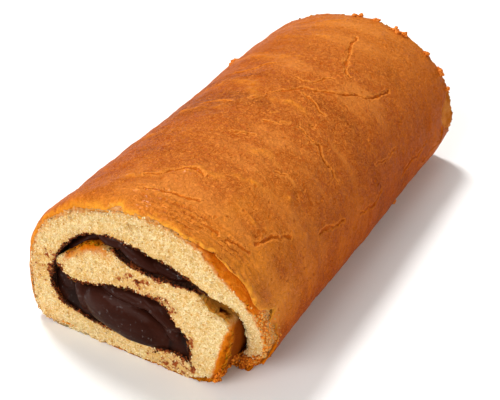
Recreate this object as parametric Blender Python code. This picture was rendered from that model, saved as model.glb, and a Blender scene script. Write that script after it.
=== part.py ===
"""Swiss roll cake: one thick sheet of sponge rolled round a dark chocolate cream.

The cut face looks along -Y, the roll runs along +Y and rests on its flat underside at Z = 0.
The sheet starts at the tip of an inner tongue, runs to a folded block on the right, comes back
as the thin bottom layer, climbs the left wall and wraps over the top down to a foot on the
right. Its cream side faces the fold and its browned crust side faces out. The cream lies in
two pockets: a thick core under the tongue and a band between the tongue and the wrap.

Sizes are in millimetres and are turned into metres as each mesh is made. Places in the cross
section are written (across, up), with across measured from the roll's ridge line.
"""

import math

import bmesh
import bpy
import numpy as np

MM = 0.001

# Driving dimensions of the whole roll.
LENGTH = 216.0
LEFT_REACH = 61.0          # ridge line to the widest point on the left, at the cut face
RIGHT_REACH = 51.5         # ridge line to the widest point on the right
CROWN = 75.5               # height of the ridge
LEFT_WAIST = 17.0          # height of the widest point on the left
RIGHT_WAIST = 25.5         # and on the right
LEFT_TUCK = 20.5           # depth below the waist of the curve that turns under, on the left
RIGHT_TUCK = 36.5          # and on the right, where the flank slopes in to the foot
DOME_POWER = 2.2           # fullness of the dome: 2 is an ellipse, more is squarer
LEFT_TUCK_POWER = 4.5
RIGHT_TUCK_POWER = 2.0

# How the section changes from the cut face (0) to the far end (1).
LEFT_FLARE = 0.14          # the left side spreads by this share
FLARE_POWER = 1.5
LEFT_FULLER = 0.05         # the left shoulder rounds out
RIGHT_LEANER = 0.11        # and the right one slopes off
RIGHT_SHRINK = 0.02
CROWN_SHRINK = 0.05
END_SAG = 0.015            # the last stretch draws in all round
END_SAG_FROM = 0.85

# The outer end of the sheet is torn back at the cut face, most of all at its foot.
TORN_BACK = 16.0
TORN_FROM_DEG = 55.0
FOOT_DEG = -44.5           # dome angle where the outer end of the sheet meets the table
TORN_FADE = 0.3            # share of the length over which the tear dies out

# Cream.
GAP = 0.45                 # clearance between cream and sponge
CORE_BULGE = 2.4           # the core swells out of the cut face
CORE_SET_BACK = 1.2        # where that swelling starts, behind the face
BAND_SET_BACK = 3.5        # the band stops short of the face

# Mesh density.
SPAN_STEPS = 3             # points per span of the sheet's curves
STATIONS = np.linspace(-LENGTH / 2, LENGTH / 2, 14)    # cross sections along the roll
RAIL_POINTS = 26           # points on each side of a cream pocket
DOME_STEPS = 3

# Inner part of the sheet, from the tongue's tip to the foot of the fold:
# (cream side), (crust side).
TONGUE_AND_FOLD = (
    ((-43.9, 33.7), (-43.3, 37.5)),    # tip
    ((-36.4, 28.2), (-35.8, 43.9)),
    ((-25.7, 30.3), (-26.8, 50.6)),    # crest
    ((-15.0, 33.7), (-16.1, 51.4)),
    ((-3.2, 34.9), (-4.3, 46.9)),
    ((7.0, 34.2), (9.6, 46.5)),
    ((11.2, 30.0), (24.6, 46.3)),      # the wrap rests on the tongue here
    ((14.4, 26.2), (30.2, 40.6)),      # floor of the open hollow
    ((17.1, 23.0), (38.2, 37.4)),      # shoulder of the folded block
    ((19.3, 18.2), (39.6, 30.5)),
    ((20.1, 11.8), (36.4, 15.5)),
    ((20.7, 6.4), (31.6, 4.3)),        # bottom of the fold, foot of the block
    ((17.7, 9.8), (22.5, 0.4)),
    ((10.7, 10.2), (11.8, 0.0)),       # start of the bottom layer
)
BLOCK_SPAN = 10            # span of the table that ends where the crack of the fold begins
CRACK_SPAN = 12            # and where the crack ends, on the bottom layer
CONTACT_SPAN = 6           # where the wrap rests on the tongue

# The wrap: the place of its cream side and the dome angle of its crust side, in degrees.
WRAP = (
    ((-20.4, 9.7), 262.0),             # end of the bottom layer
    ((-30.5, 10.6), 243.0),
    ((-38.5, 12.6), 225.0),
    ((-44.6, 15.8), 207.0),            # inside corner on the left
    ((-48.2, 22.4), 187.0),
    ((-46.8, 30.0), 170.0),            # level with the tongue's tip
    ((-42.7, 39.3), 149.0),
    ((-35.4, 48.9), 127.0),
    ((-26.7, 55.2), 112.0),
    ((-14.5, 58.2), 98.0),
    ((2.1, 56.2), 80.0),
    ((17.1, 52.8), 61.0),
    ((28.9, 46.6), 42.0),              # sags over the hollow
    ((37.8, 41.5), 24.0),
    ((40.9, 33.2), 8.0),
    ((40.4, 21.4), -9.0),
    ((37.4, 10.7), -26.0),
    ((30.5, 0.0), FOOT_DEG),           # outer end of the sheet
)
TIP_LEVEL_SPAN = 5         # span of the wrap that ends level with the tongue's tip
BAND_START_SPAN = 6        # where the band begins, above the tip
BAND_END_SPAN = 12         # and where it ends, over the contact with the tongue
END_STEPS = 2              # points that each pocket's cream keeps back from the tip

CRUST_COLOUR = (0.52, 0.19, 0.05, 1.0)
CHOCOLATE_COLOUR = (0.035, 0.014, 0.009, 1.0)


def clear_scene():
    for obj in list(bpy.data.objects):
        bpy.data.objects.remove(obj, do_unlink=True)


def smooth_curve(points, steps):
    """Catmull-Rom curve through the points, with this many steps in each span."""
    p = np.array(points, float)
    q = np.vstack([2 * p[0] - p[1], p, 2 * p[-1] - p[-2]])
    curve = []
    for a, b, c, d in zip(q, q[1:], q[2:], q[3:]):
        for t in np.arange(steps) / steps:
            cubic = (3 * b - a - 3 * c + d) * t ** 3
            square = (2 * a - 5 * b + 4 * c - d) * t ** 2
            curve.append(0.5 * (2 * b + (c - a) * t + square + cubic))
    curve.append(p[-1])
    return np.array(curve)


def dome(angle_deg):
    """The outside of the roll at a dome angle: 0 is right, 90 the ridge, 180 left."""
    c, s = math.cos(math.radians(angle_deg)), math.sin(math.radians(angle_deg))
    left = c < 0
    reach, waist = (LEFT_REACH, LEFT_WAIST) if left else (RIGHT_REACH, RIGHT_WAIST)
    if s >= 0:
        rise, power = CROWN - waist, DOME_POWER
    elif left:
        rise, power = LEFT_TUCK, LEFT_TUCK_POWER
    else:
        rise, power = RIGHT_TUCK, RIGHT_TUCK_POWER
    across = math.copysign(reach * abs(c) ** (2 / power), c)
    up = waist + math.copysign(rise * abs(s) ** (2 / power), s)
    return across, max(up, 0.0)


def sheet_section():
    """Both sides of the sheet at the cut face, and how far each point is torn back."""
    fold_cream = smooth_curve([cream for cream, _ in TONGUE_AND_FOLD], SPAN_STEPS)
    fold_crust = smooth_curve([crust for _, crust in TONGUE_AND_FOLD], SPAN_STEPS)
    wrap_cream = smooth_curve([cream for cream, _ in WRAP], SPAN_STEPS)
    angles = smooth_curve([(angle, 0) for _, angle in WRAP], SPAN_STEPS)[:, 0]
    wrap_crust = np.array([dome(angle) for angle in angles])
    cream = np.vstack([fold_cream, wrap_cream])
    crust = np.vstack([fold_crust, wrap_crust])
    share = np.clip((TORN_FROM_DEG - angles) / (TORN_FROM_DEG - FOOT_DEG), 0, 1)
    torn = TORN_BACK * share ** 2 * (3 - 2 * share)
    return cream, crust, np.concatenate([np.zeros(len(fold_cream)), torn])


def swell(points, along):
    """The section's points as they lie at this share of the length."""
    across, up = points[:, 0], points[:, 1]
    left = across < 0
    reach = np.where(left, LEFT_REACH, RIGHT_REACH)
    waist = np.where(left, LEFT_WAIST, RIGHT_WAIST)
    above = np.maximum(up - waist, 0)
    shoulder = np.abs(across) / reach * above / (CROWN - waist)
    fuller = 1 + np.where(left, LEFT_FULLER, -RIGHT_LEANER) * along * shoulder
    sag = END_SAG * max(0.0, (along - END_SAG_FROM) / (1 - END_SAG_FROM)) ** 2
    wide = np.where(left, 1 + LEFT_FLARE * along ** FLARE_POWER, 1 - RIGHT_SHRINK * along) - sag
    tall = 1 - CROWN_SHRINK * along ** 2 - sag
    return np.column_stack([across * fuller * wide, (up + above * (fuller - 1)) * tall])


def inset(rail, side):
    """A rail moved by the clearance, to the left (1) or right (-1) of its own direction."""
    run = np.gradient(rail, axis=0)
    run /= np.linalg.norm(run, axis=1)[:, None]
    return rail + side * GAP * np.column_stack([-run[:, 1], run[:, 0]])


def respace(rail, count):
    """The rail with this many points, evenly spaced along it."""
    steps = np.linalg.norm(np.diff(rail, axis=0), axis=1)
    walked = np.concatenate([[0], np.cumsum(steps)])
    wanted = np.linspace(0, walked[-1], count)
    return np.column_stack([np.interp(wanted, walked, rail[:, k]) for k in (0, 1)])


def ring(rails, station, shift=0.0):
    """One cross section in space at a distance along the roll; shift is a number or one a point."""
    along = np.clip(station / LENGTH + 0.5, 0, 1)
    placed = [swell(rail, along) for rail in rails]
    y = np.broadcast_to(station + shift, len(rails[0]))
    return [np.column_stack([rail[:, 0], y, rail[:, 1]]) for rail in placed]


def ribbon_solid(name, rings, material):
    """A closed solid through rings of two rails each: a skin round them and strips at the ends."""
    mesh = bmesh.new()
    loops = []
    for rail_a, rail_b in rings:
        loop = np.vstack([rail_a, rail_b[::-1]]) * MM
        loops.append([mesh.verts.new(point) for point in loop])
    size = len(loops[0])
    for near, far in zip(loops, loops[1:]):
        for i in range(size):
            j = (i + 1) % size
            mesh.faces.new((near[i], near[j], far[j], far[i]))
    for end in (loops[0], loops[-1]):
        for i in range(size // 2 - 1):
            mesh.faces.new((end[i], end[i + 1], end[size - 2 - i], end[size - 1 - i]))
    bmesh.ops.recalc_face_normals(mesh, faces=mesh.faces[:])
    bmesh.ops.triangulate(mesh, faces=mesh.faces[:])
    data = bpy.data.meshes.new(name)
    mesh.to_mesh(data)
    mesh.free()
    data.materials.append(material)
    data.shade_smooth()
    data.set_sharp_from_angle(angle=math.radians(50))
    solid = bpy.data.objects.new(name, data)
    bpy.context.scene.collection.objects.link(solid)
    return solid


def make_material(name, colour, roughness):
    material = bpy.data.materials.new(name)
    material.use_nodes = True
    shader = material.node_tree.nodes["Principled BSDF"]
    shader.inputs["Base Color"].default_value = colour
    shader.inputs["Roughness"].default_value = roughness
    shader.inputs["Metallic"].default_value = 0.0
    return material


def make_sponge(cream, crust, torn):
    rings = []
    for station in STATIONS:
        fade = max(0.0, 1 - (station / LENGTH + 0.5) / TORN_FADE) ** 2
        rings.append(ring((cream, crust), station, torn * fade))
    return ribbon_solid("sponge", rings, make_material("golden_crust", CRUST_COLOUR, 0.5))


def make_core(cream, material):
    """The thick pocket of cream between the tongue, the left wall and the bottom layer."""
    fold_end = (len(TONGUE_AND_FOLD) - 1) * SPAN_STEPS + 1
    above = cream[: BLOCK_SPAN * SPAN_STEPS + 1][::-1]
    below = cream[CRACK_SPAN * SPAN_STEPS: fold_end + TIP_LEVEL_SPAN * SPAN_STEPS - END_STEPS]
    above = respace(inset(above, 1), RAIL_POINTS)
    below = respace(inset(below, -1), RAIL_POINTS)
    middle = (above + below) / 2
    reach = LENGTH / 2 - CORE_SET_BACK
    cuts = [(1.0, station) for station in np.clip(STATIONS, -reach, reach)]
    for step in range(1, DOME_STEPS + 1):
        turn = math.pi / 2 * step / (DOME_STEPS + 1)
        station = reach + (CORE_BULGE + CORE_SET_BACK) * math.sin(turn)
        cuts.insert(0, (math.cos(turn), -station))
        cuts.append((math.cos(turn), station))
    rings = []
    for share, station in cuts:
        rails = [middle + share * (rail - middle) for rail in (above, below)]
        rings.append(ring(rails, station))
    return ribbon_solid("cream_core", rings, material)


def make_band(cream, crust, material):
    """The thinner band of cream between the tongue's crust and the wrap."""
    fold_end = (len(TONGUE_AND_FOLD) - 1) * SPAN_STEPS + 1
    below = crust[END_STEPS: CONTACT_SPAN * SPAN_STEPS + 1]
    above = cream[fold_end + BAND_START_SPAN * SPAN_STEPS: fold_end + BAND_END_SPAN * SPAN_STEPS]
    rails = [respace(inset(above, -1), RAIL_POINTS), respace(inset(below, 1), RAIL_POINTS)]
    reach = LENGTH / 2 - BAND_SET_BACK
    rings = [ring(rails, station) for station in np.clip(STATIONS, -reach, reach)]
    return ribbon_solid("cream_band", rings, material)


def centre_on_base(solids):
    """Moves the meshes so that the origin is the middle of the whole roll's base."""
    corners = np.array([v.co for solid in solids for v in solid.data.vertices])
    low, high = corners.min(0), corners.max(0)
    shift = (-(low[0] + high[0]) / 2, -(low[1] + high[1]) / 2, -low[2])
    for solid in solids:
        for vertex in solid.data.vertices:
            vertex.co.x += shift[0]
            vertex.co.y += shift[1]
            vertex.co.z += shift[2]


def main():
    clear_scene()
    cream, crust, torn = sheet_section()
    chocolate = make_material("chocolate_cream", CHOCOLATE_COLOUR, 0.3)
    solids = [
        make_sponge(cream, crust, torn),
        make_core(cream, chocolate),
        make_band(cream, crust, chocolate),
    ]
    centre_on_base(solids)


main()
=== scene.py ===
"""Looks of a swiss roll cake: crumb, browned skin, chocolate cream and loose crumbs.

The roll is one thick sheet of sponge, so most shapes are worked out on the sheet: how far along
it from the tongue's tip (span, in rows of its table), how deep from its cream side (0) to its
crust side (1), and how far along the roll. The skin is placed by the dome angle (0 right, 90 the
ridge, 180 left) and the distance from the near cut face. Sizes are in millimetres until a mesh
is made.
"""

import math
from itertools import product

import bmesh
import bpy
import numpy as np
from bpy.props import FloatProperty, FloatVectorProperty, IntProperty, PointerProperty
from bpy.types import Operator, Panel, PropertyGroup
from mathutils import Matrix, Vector


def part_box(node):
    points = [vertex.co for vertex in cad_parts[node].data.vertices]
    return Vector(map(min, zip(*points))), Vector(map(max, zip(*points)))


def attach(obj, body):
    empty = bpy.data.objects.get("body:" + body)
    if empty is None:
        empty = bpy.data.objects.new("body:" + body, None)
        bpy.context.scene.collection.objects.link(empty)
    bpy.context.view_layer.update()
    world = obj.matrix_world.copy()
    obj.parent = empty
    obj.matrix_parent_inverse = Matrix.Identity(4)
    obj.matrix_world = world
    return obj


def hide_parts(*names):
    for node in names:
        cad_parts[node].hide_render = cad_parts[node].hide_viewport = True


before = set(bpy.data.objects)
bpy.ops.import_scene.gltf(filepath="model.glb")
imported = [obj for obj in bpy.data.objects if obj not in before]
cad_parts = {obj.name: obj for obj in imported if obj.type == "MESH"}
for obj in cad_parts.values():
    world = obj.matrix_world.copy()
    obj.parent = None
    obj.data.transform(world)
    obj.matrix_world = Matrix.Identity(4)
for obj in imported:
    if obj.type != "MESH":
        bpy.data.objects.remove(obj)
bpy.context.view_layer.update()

bl_info = {
    "name": "Swiss Roll Cake",
    "version": (1, 0, 0),
    "blender": (4, 5, 0),
    "location": "View3D > Sidebar > Swiss Roll",
    "description": "Makes the crumb, crust, cream and crumbs of a swiss roll cake",
    "category": "Mesh",
}

MM = 0.001

# ---- The sheet of sponge ----

SPONGE_LOW, SPONGE_HIGH = (np.array(corner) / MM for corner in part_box("sponge"))
LENGTH = SPONGE_HIGH[1] - SPONGE_LOW[1]
HALF = LENGTH / 2
CROWN = SPONGE_HIGH[2]
# The dome of the cut face: reach to the sides, height of its widest place, depth below that.
LEFT_REACH, RIGHT_REACH = 61.0, 51.5
LEFT_WAIST, RIGHT_WAIST = 17.0, 25.5
LEFT_TUCK, RIGHT_TUCK = 20.5, 36.5
DOME_POWER, LEFT_TUCK_POWER, RIGHT_TUCK_POWER = 2.2, 4.5, 2.0
RIDGE = SPONGE_HIGH[0] - RIGHT_REACH      # the ridge line's place across the roll
# How the section changes towards the far end, and how far it is torn back at the near one.
LEFT_FLARE, FLARE_POWER = 0.14, 1.5
LEFT_FULLER, RIGHT_LEANER = 0.05, 0.11
RIGHT_SHRINK, CROWN_SHRINK = 0.02, 0.05
END_SAG, END_SAG_FROM = 0.015, 0.85
TORN_BACK, TORN_FROM_DEG, FOOT_DEG, TORN_FADE = 16.0, 55.0, -44.5, 0.3

# Tongue and fold: (cream side), (crust side) at the cut face.
TONGUE_AND_FOLD = (
    ((-43.9, 33.7), (-43.3, 37.5)),
    ((-36.4, 28.2), (-35.8, 43.9)),
    ((-25.7, 30.3), (-26.8, 50.6)),
    ((-15.0, 33.7), (-16.1, 51.4)),
    ((-3.2, 34.9), (-4.3, 46.9)),
    ((7.0, 34.2), (9.6, 46.5)),
    ((11.2, 30.0), (24.6, 46.3)),
    ((14.4, 26.2), (30.2, 40.6)),
    ((17.1, 23.0), (38.2, 37.4)),
    ((19.3, 18.2), (39.6, 30.5)),
    ((20.1, 11.8), (36.4, 15.5)),
    ((20.7, 6.4), (31.6, 4.3)),
    ((17.7, 9.8), (22.5, 0.4)),
    ((10.7, 10.2), (11.8, 0.0)),
)
# Wrap: (cream side), dome angle of the crust side.
WRAP = (
    ((-20.4, 9.7), 262.0),
    ((-30.5, 10.6), 243.0),
    ((-38.5, 12.6), 225.0),
    ((-44.6, 15.8), 207.0),
    ((-48.2, 22.4), 187.0),
    ((-46.8, 30.0), 170.0),
    ((-42.7, 39.3), 149.0),
    ((-35.4, 48.9), 127.0),
    ((-26.7, 55.2), 112.0),
    ((-14.5, 58.2), 98.0),
    ((2.1, 56.2), 80.0),
    ((17.1, 52.8), 61.0),
    ((28.9, 46.6), 42.0),
    ((37.8, 41.5), 24.0),
    ((40.9, 33.2), 8.0),
    ((40.4, 21.4), -9.0),
    ((37.4, 10.7), -26.0),
    ((30.5, 0.0), FOOT_DEG),
)
WRAP_START = len(TONGUE_AND_FOLD)
SHEET_END = WRAP_START + len(WRAP) - 1

# Spans of the sheet that cream covers: core and band, on the sheet's two sides.
CORE_ABOVE, CORE_BELOW = (0.0, 10.6), (11.6, 18.4)
BAND_BELOW, BAND_ABOVE = (0.7, 6.2), (19.6, 26.2)

# Spans of the block's browned side and its bevel, the toasted tip, the open hollow beside the
# fold on its two sides, where shade is painted, and the tail of the wrap, where warm light is
# painted low down.
BLOCK_SIDE, BLOCK_BEVEL, BLOCK_CORNER = (8.2, 14.0), (8.7, 11.4), (10.4, 12.0)
TOASTED_TIP, FOLD_HOLLOW, WRAP_HOLLOW, WARM_LIT_TAIL = (0.5, 2.9), (6.0, 8.2), (25.6, 27.8), (26, 29)
TORN_SIDE = (60, 72)       # the skin is torn at dome angles below these
FAR_TEAR = (LENGTH - 26, LENGTH - 20)   # and over a patch that starts here, at the far end

HALO = 0.16                # the strongest value of the soft shade around the cream

SKIN = 0.9                 # thickness of the browned skin
SKIN_ROOT = 1.4            # how deep the skin's underside sits, inside the crumb
FLOOR_OF_SKIN = 0.25       # its underside stays this far above the floor

# How far the outer edge of the sheet sinks at the cut face: (dome angle, mm).
EDGE_SINK = (
    (-45, 1.6), (-20, 2.0), (0, 1.8), (12, 2.2), (30, 3.4), (45, 3.4), (53, 2.2), (60, 0.6), (68, 0.6),
    (82, 1.4), (92, 1.2), (97, 2.0), (103, 3.0), (114, 3.0), (128, 2.0), (145, 0.8), (262, 0.5),
)
EDGE_REACH = 9.0           # the sinking dies out over this distance along the roll

# Where the skin begins, behind the cut face: (dome angle, mm).
SKIN_FRONT = (
    (-45, 13), (-38, 17), (-26, 15), (-12, 15), (-2, 17), (5, 16), (10, 12), (13, 16), (17, 10),
    (21, 6.8), (29, 5.8), (36, 5.6), (42, 3.8), (48, 2.6), (53, 2.0), (58, 1.7), (62, 1.5), (68, 1.2),
    (76, 1.2), (84, 1.6), (90, 1.0), (95, 0.9), (97.5, 3.0), (100, 2.6), (104, 1.0), (120, 1.3),
    (150, 1.7), (200, 1.7), (240, 1.2), (250, 0.9),
)
# And how far it ends short of the far face.
SKIN_BACK = (
    (-45, 3), (-20, 2), (-8, 3), (0, 13), (6, 17), (12, 15), (18, 5), (24, 1), (60, 0.3),
    (110, 0.5), (250, 0.3),
)

# Cracks in the skin: ((dome angle, mm from the cut face), ...), half width, depth.
CRACKS = (
    (((97, 101), (92, 110), (88, 118), (85, 122), (79, 124), (73, 128), (67, 131), (62, 138),
      (56, 143), (53, 148), (49, 162)), 0.62, 1.3),
    (((83, 118), (78, 116), (74, 115), (68, 111), (65, 112)), 0.5, 0.6),
    (((87, 187), (86, 180), (83, 169), (80, 162), (77, 156)), 0.62, 1.3),
    (((82, 160), (79, 158), (75, 149), (72, 147)), 0.5, 0.7),
    (((91, 130), (88, 128), (83, 130), (81, 136), (77, 140)), 0.5, 0.7),
    (((69, 92), (64, 91), (59, 91), (55, 92), (52, 89), (48, 87), (44, 88)), 0.5, 0.8),
    (((41, 88), (38, 86), (34, 87)), 0.45, 0.5),
    (((3, 197), (-3, 195), (-8, 194)), 0.9, 1.2),
    (((6, 176), (4, 165), (5, 153), (3, 142)), 0.5, 0.6),
    (((-2, 190), (-5, 178), (-4, 166)), 0.5, 0.6),
    (((100, 24), (96, 28), (93, 32), (91, 35), (87, 36), (83, 35)), 0.5, 0.8),
    (((69, 12), (62, 11.5), (58, 12)), 0.5, 0.6),
    (((54, 12), (48, 16), (43, 17)), 0.5, 0.7),
    (((97, 14), (94, 15), (89, 17), (83, 18), (76, 20)), 0.5, 0.6),
    (((90, 70), (86, 73), (82, 74)), 0.45, 0.5),
    (((85, 86), (80, 88), (75, 92)), 0.45, 0.5),
    (((118, 128), (112, 131), (108, 138), (104, 141)), 0.5, 0.5),
    (((115, 92), (110, 96), (104, 96)), 0.5, 0.45),
    (((44, 22), (41, 28), (39, 33), (34, 41)), 0.6, 0.7),
    (((60, 58), (55, 62), (50, 61)), 0.45, 0.4),
    (((22, 60), (18, 72), (15, 80)), 0.5, 0.5),
    (((10, 95), (7, 108), (8, 118)), 0.5, 0.5),
    (((24, 120), (20, 130), (21, 141)), 0.5, 0.4),
)
# Raised, paler welts: the same, half width and height.
WELTS = (
    (((108, 20), (104, 22), (99, 25), (93, 33), (87, 38), (80, 36), (73, 42), (66, 45), (55, 48),
      (46, 54)), 2.0, 0.45),
    (((62, 30), (50, 28), (44, 32), (34, 42), (28, 50)), 1.8, 0.4),
    (((128, 60), (116, 63), (106, 64)), 2.6, 0.35),
    (((122, 84), (112, 88), (103, 90)), 2.2, 0.35),
    (((130, 112), (117, 118), (104, 117), (96, 103)), 2.6, 0.4),
    (((122, 150), (110, 147), (99, 150)), 2.4, 0.4),
    (((118, 176), (108, 174), (96, 178)), 2.6, 0.4),
    (((112, 196), (103, 200), (97, 206)), 2.2, 0.3),
    (((90, 104), (84, 108), (74, 106)), 1.8, 0.3),
    (((77, 62), (70, 66), (62, 64)), 2.0, 0.3),
)
# Single pits: dome angle, mm from the cut face, radius, depth.
PITS = (
    (31, 155, 0.9, 0.9), (22, 153, 0.7, 0.8), (43, 149, 0.8, 0.7), (14, 116, 0.8, 0.8),
    (64, 38, 0.6, 0.7), (45, 59, 1.7, 0.9), (65, 100, 1.4, 1.1), (76, 36, 1.0, 0.8),
    (46, 25, 1.5, 1.8), (43, 13, 0.8, 1.2), (84, 74, 1.0, 0.5), (74, 115, 0.8, 0.8),
    (79, 90, 0.6, 0.7), (83, 146, 0.6, 0.7), (58, 157, 0.7, 0.6), (-6, 147, 1.6, 0.5),
    (111, 67, 0.8, 0.5),
)

# Clusters of crusty bits on the skin: dome angle, mm from the cut face, radius.
CLINGING_BITS = (
    (75, 213.5, 3.2), (69, 214.5, 1.8), (50, 214.5, 2.2), (33, 214, 2.6), (20, 214, 2.2),
    (8, 210, 2.6), (2, 205, 2.4), (96, 214.8, 1.6), (88, 215, 1.5), (146, 168, 3.4), (143, 163, 2.0),
    (-30, 150, 1.6), (-36, 120, 1.5),
)

# Larger holes and hollows torn in the crumb of the near face: across, up, radius, depth.
FACE_HOLES = (
    (23.7, 62.5, 0.9, 1.8), (-4.8, 66.5, 2.4, 2.2), (-1.5, 67.5, 1.4, 1.6), (-9.0, 46.5, 2.2, 2.0),
    (4.0, 64.0, 1.2, 0.9), (-33.0, 61.0, 1.0, 0.8), (34.5, 47.0, 1.4, 1.2), (-52.0, 36.0, 0.9, 0.8),
    (12.5, 58.6, 1.0, 1.0), (29.0, 28.0, 0.9, 0.8), (27.0, 39.5, 1.1, 1.0),
)
# Chocolate smeared on the near face: across, up, half width, half height, strongest stain.
SMEARS = (
    (-6.2, 42.4, 2.2, 1.4, 0.7), (-3.2, 41.2, 2.4, 1.3, 0.7), (1.2, 42.6, 2.6, 1.5, 0.65),
    (6.5, 45.0, 3.4, 1.3, 0.7), (3.4, 34.9, 4.4, 2.0, 0.5), (9.0, 36.0, 3.8, 2.2, 0.5),
    (12.0, 33.0, 2.4, 2.6, 0.5), (-42.0, 33.6, 2.4, 2.2, 0.6), (17.0, 9.0, 1.6, 1.0, 0.5),
    (12.5, 8.6, 1.8, 0.9, 0.5), (21.5, 6.0, 1.6, 2.2, 0.5), (-45.0, 15.5, 3.6, 2.0, 0.5),
    (21.5, 20.0, 1.8, 4.0, 0.65), (9.0, 4.6, 11.0, 5.5, 0.34), (-4.0, 39.0, 9.0, 4.5, 0.26),
    (-47.5, 29.0, 3.0, 6.0, 0.62), (-46.0, 38.0, 4.0, 4.0, 0.3), (-52.5, 30.0, 3.0, 8.0, 0.22),
    (-33.0, 44.0, 4.0, 3.0, 0.3),
)


def spline(points, at):
    """Catmull-Rom curve through the points, read at these places, counted in points."""
    p = np.array(points, float)
    q = np.concatenate([[2 * p[0] - p[1]], p, [2 * p[-1] - p[-2]]])
    at = np.clip(at, 0, len(p) - 1)
    i = np.minimum(at.astype(int), len(p) - 2)
    t = (at - i)[..., None]
    a, b, c, d = q[i], q[i + 1], q[i + 2], q[i + 3]
    cubic = (3 * b - a - 3 * c + d) * t ** 3
    return 0.5 * (2 * b + (c - a) * t + (2 * a - 5 * b + 4 * c - d) * t ** 2 + cubic)


def table(pairs, at):
    """A value read from (place, value) pairs that rise in place, smoothly between them."""
    places, values = np.array(sorted(pairs), float).T
    k = np.clip(np.searchsorted(places, at) - 1, 0, len(places) - 2)
    share = unit((at - places[k]) / (places[k + 1] - places[k]))
    return values[k] + (values[k + 1] - values[k]) * share ** 2 * (3 - 2 * share)


def unit(value):
    return np.clip(value, 0, 1)


def ramp(low, high, value):
    """0 below low, 1 above high, and smooth between."""
    share = unit((value - low) / (high - low))
    return share ** 2 * (3 - 2 * share)


def fall(low, high, value):
    """1 below low, 0 above high, and smooth between."""
    return 1 - ramp(low, high, value)


def window(value, low, high, soft=0.35):
    """1 between two values, 0 outside, with soft ends."""
    return ramp(low - soft, low + soft, value) * fall(high - soft, high + soft, value)


def hill(distance):
    return np.exp(-distance ** 2)


def walked(points):
    """How far each point of a line lies along it."""
    steps = np.linalg.norm(np.diff(points, axis=0), axis=1)
    return np.concatenate([[0], np.cumsum(steps)])


def dome(deg):
    """The outside of the roll at these dome angles, at the cut face."""
    c, s = np.cos(np.radians(deg)), np.sin(np.radians(deg))
    left, high = c < 0, s >= 0
    reach = np.where(left, LEFT_REACH, RIGHT_REACH)
    waist = np.where(left, LEFT_WAIST, RIGHT_WAIST)
    rise = np.where(high, CROWN - waist, np.where(left, LEFT_TUCK, RIGHT_TUCK))
    power = np.where(high, DOME_POWER, np.where(left, LEFT_TUCK_POWER, RIGHT_TUCK_POWER))
    across = reach * np.sign(c) * np.abs(c) ** (2 / power)
    up = waist + rise * np.sign(s) * np.abs(s) ** (2 / power)
    return np.stack([across, np.maximum(up, 0)], -1)


def dome_normal(deg):
    step = dome(deg - 0.5) - dome(deg + 0.5)
    normal = np.stack([-step[..., 1], step[..., 0]], -1)
    size = np.linalg.norm(normal, axis=-1, keepdims=True)
    return np.where(size > 1e-6, normal / np.maximum(size, 1e-6), np.array([0.0, -1.0]))


def wrap_angle(span):
    """Dome angle of the sheet's crust side; the fold counts as the underside's start."""
    return spline([(deg,) for _, deg in WRAP], np.maximum(span - WRAP_START, 0.0))[..., 0]


def sheet_sides(span):
    """The cream side and the crust side of the sheet at these places, at the cut face."""
    share = unit(span - (WRAP_START - 1.0))[..., None]
    wrap = spline([cream for cream, _ in WRAP], span - WRAP_START), dome(wrap_angle(span))
    fold = (spline([row[side] for row in TONGUE_AND_FOLD], span) for side in (0, 1))
    return [a * (1 - share) + b * share for a, b in zip(fold, wrap)]


def sheet_thickness(span):
    cream, crust = sheet_sides(span)
    return np.linalg.norm(crust - cream, axis=-1)


def torn(deg):
    """How far the sheet is torn back at the near face, at these dome angles."""
    share = unit((TORN_FROM_DEG - deg) / (TORN_FROM_DEG - FOOT_DEG))
    return TORN_BACK * share ** 2 * (3 - 2 * share)


def in_roll(section, station, set_back=0.0):
    """Points of the section placed at a distance along the roll; set_back dies out behind it."""
    along = unit(station / LENGTH + 0.5)
    across, up = section[..., 0], section[..., 1]
    left = across < 0
    waist = np.where(left, LEFT_WAIST, RIGHT_WAIST)
    above = np.maximum(up - waist, 0)
    shoulder = np.abs(across) / np.where(left, LEFT_REACH, RIGHT_REACH) * above / (CROWN - waist)
    fuller = 1 + np.where(left, LEFT_FULLER, -RIGHT_LEANER) * along * shoulder
    sag = END_SAG * np.maximum(0.0, (along - END_SAG_FROM) / (1 - END_SAG_FROM)) ** 2
    wide = np.where(left, 1 + LEFT_FLARE * along ** FLARE_POWER, 1 - RIGHT_SHRINK * along) - sag
    tall = 1 - CROWN_SHRINK * along ** 2 - sag
    fade = np.maximum(0, 1 - along / TORN_FADE) ** 2
    y = station + set_back * fade + 0 * across
    x = across * fuller * wide + RIDGE
    return np.stack([x, y, (up + above * (fuller - 1)) * tall], -1)


# ---- Noise ----


def lattice(cell, seed):
    """A number from 0 to 1 for each cell of a lattice."""
    i, j, k = (cell[..., axis].astype(np.int64) for axis in range(3))
    n = (i * 73856093) ^ (j * 19349663) ^ (k * 83492791) ^ (seed * 2654435761)
    n = (n ^ (n >> 13)) & 0xFFFFFFFF
    n = (n * 1274126177) & 0xFFFFFFFF
    n = n ^ (n >> 16)
    return (n & 0xFFFFFF) / float(0x1000000)


def smooth_noise(points, size, seed):
    """Smooth noise from -1 to 1 with features of about this size."""
    p = points / size
    cell = np.floor(p)
    t = p - cell
    t = t * t * (3 - 2 * t)
    total = 0.0
    for corner in product((0, 1), repeat=3):
        x, y, z = (t[..., k] if step else 1 - t[..., k] for k, step in enumerate(corner))
        total = total + lattice(cell + corner, seed) * (x * y * z)
    return total * 2 - 1


def noise(points, size, seed, layers=3, gain=0.5):
    """Layers of smooth noise, each half the size of the last."""
    total, scale = 0.0, 1.0
    for layer in range(layers):
        total = total + scale * smooth_noise(points, size / 2 ** layer, seed + 17 * layer)
        scale *= gain
    return total


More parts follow.
